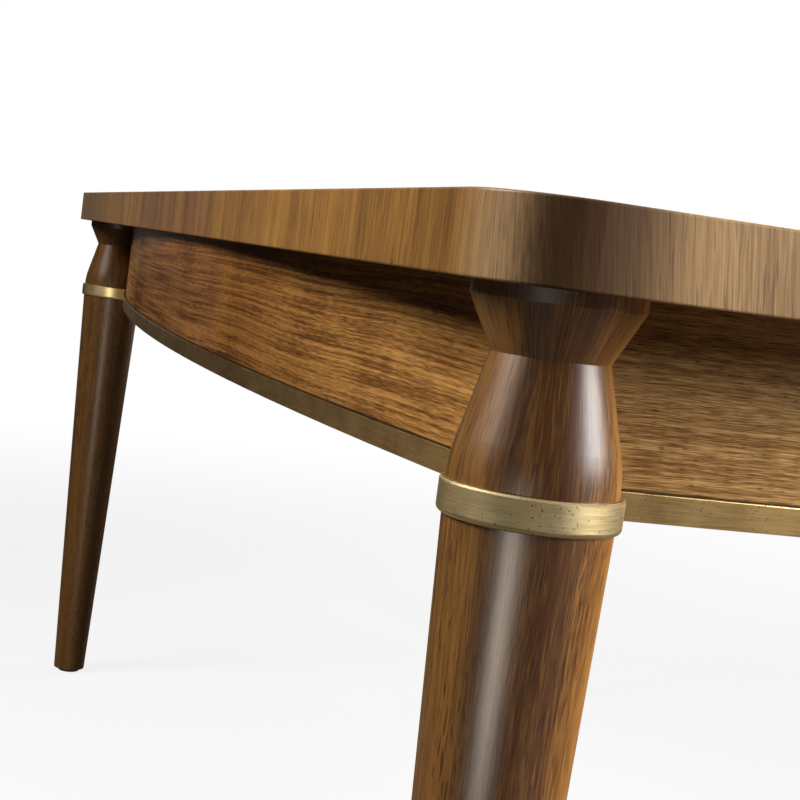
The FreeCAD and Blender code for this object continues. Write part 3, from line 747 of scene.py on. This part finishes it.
# %% Bare wood
def bare_wood(name, light, dark, fleck, fleck_share):
    wood = Finish(name)
    x, y, z = wood.parts(wood.place())
    sway = (wood.grain((x, y, z), (3, 9, 9)) - 0.5) * 0.012
    place = (x, y + sway, z + sway)
    bands = wood.grain(place, (4, 60, 60), detail=3)
    fibres = wood.grain(place, (22, 900, 900), detail=2)
    flecks = wood.between(wood.grain(place, (240, 1100, 1100)), 0.62, 0.70) * fleck_share
    shade = wood.mix(wood.between(bands * 0.6 + fibres * 0.4, 0.32, 0.66), dark, light)
    shade = wood.mix(flecks, shade, fleck)
    return wood.surface(
        Base_Color=shade,
        Roughness=0.58 + fibres * 0.16,
        Normal=wood.bump(fibres, grain_depth, strength=0.4),
    )


beech = bare_wood("beech_planed", colour(205, 168, 124), colour(178, 138, 96),
                  fleck=colour(128, 86, 52), fleck_share=0.7)
poplar = bare_wood("poplar_planed", colour(206, 190, 146), colour(180, 160, 112),
                   fleck=colour(150, 132, 88), fleck_share=0.25)
print(beech.name, "and", poplar.name, "ready")

# %% [markdown]
# ## Steel and nylon
# Screws, bolts and locks are zinc-plated steel: a cold metal with a faint crystalline mottling. Pinions and
# foot glides are moulded nylon, dark grey, with the fine orange-peel of the mould. One flat colour each
# would do from afar, but a screw seen from close by would look painted, so each gets a little noise in its
# colour, its sheen and its relief.

# %% Plated steel and moulded nylon
peel_depth = 0.0001


def plated_steel():
    metal = Finish("steel_plated")
    place = metal.place()
    mottle = metal.noise(place, 420, detail=3)
    smear = metal.noise(place, 60, detail=2)
    shade = metal.mix(metal.between(mottle, 0.35, 0.65), colour(164, 165, 162), colour(198, 198, 192))
    return metal.surface(
        Base_Color=shade,
        Metallic=1.0,
        Roughness=0.28 + smear * 0.22,
        Normal=metal.bump(mottle, peel_depth, strength=0.4),
    )


def moulded_nylon():
    plastic = Finish("nylon_moulded")
    place = plastic.place()
    peel = plastic.noise(place, 900, detail=2)
    cloud = plastic.noise(place, 50, detail=2)
    shade = plastic.mix(cloud, colour(84, 84, 82), colour(108, 108, 105))
    return plastic.surface(
        Base_Color=shade,
        Roughness=0.42 + peel * 0.14,
        Normal=plastic.bump(peel, peel_depth, strength=0.5),
    )


steel = plated_steel()
nylon = moulded_nylon()
print(steel.name, "and", nylon.name, "ready")

# %% [markdown]
# ## Dressing the pieces
# Each piece of the construction names its material slot in the record. We could list the pieces one by one,
# but following those names means that a change of the construction keeps its finish. Only the end aprons,
# whose grain runs the other way, and the strips, whose brass is darker and redder than that of the rings,
# are told apart by name; the strips' darker colour is painted shade.

# %% Give every piece its finish
finish_of = {
    "walnut_top": walnut_top,
    "walnut_leaf": walnut_leaf,
    "walnut_edge": walnut_edge,
    "walnut_leg": walnut_leg,
    "walnut_apron": walnut_side,
    "brass": brass,
    "brass_pin": brass_pin,
    "poplar": poplar,
    "beech": beech,
    "nylon": nylon,
    "steel": steel,
}

slot_of = {part["node"]: part["material_slot"] for part in frame["record"]["subparts"]}
used = set()
for name, piece in nodes.items():
    finish = finish_of[slot_of[name]]
    if name.startswith("end_apron"):
        finish = walnut_end
    if "strip" in name:
        finish = brass_strip
    piece.data.materials.clear()
    piece.data.materials.append(finish)
    used.add(finish.name)
print(len(nodes), "pieces dressed in", len(used), "finishes")
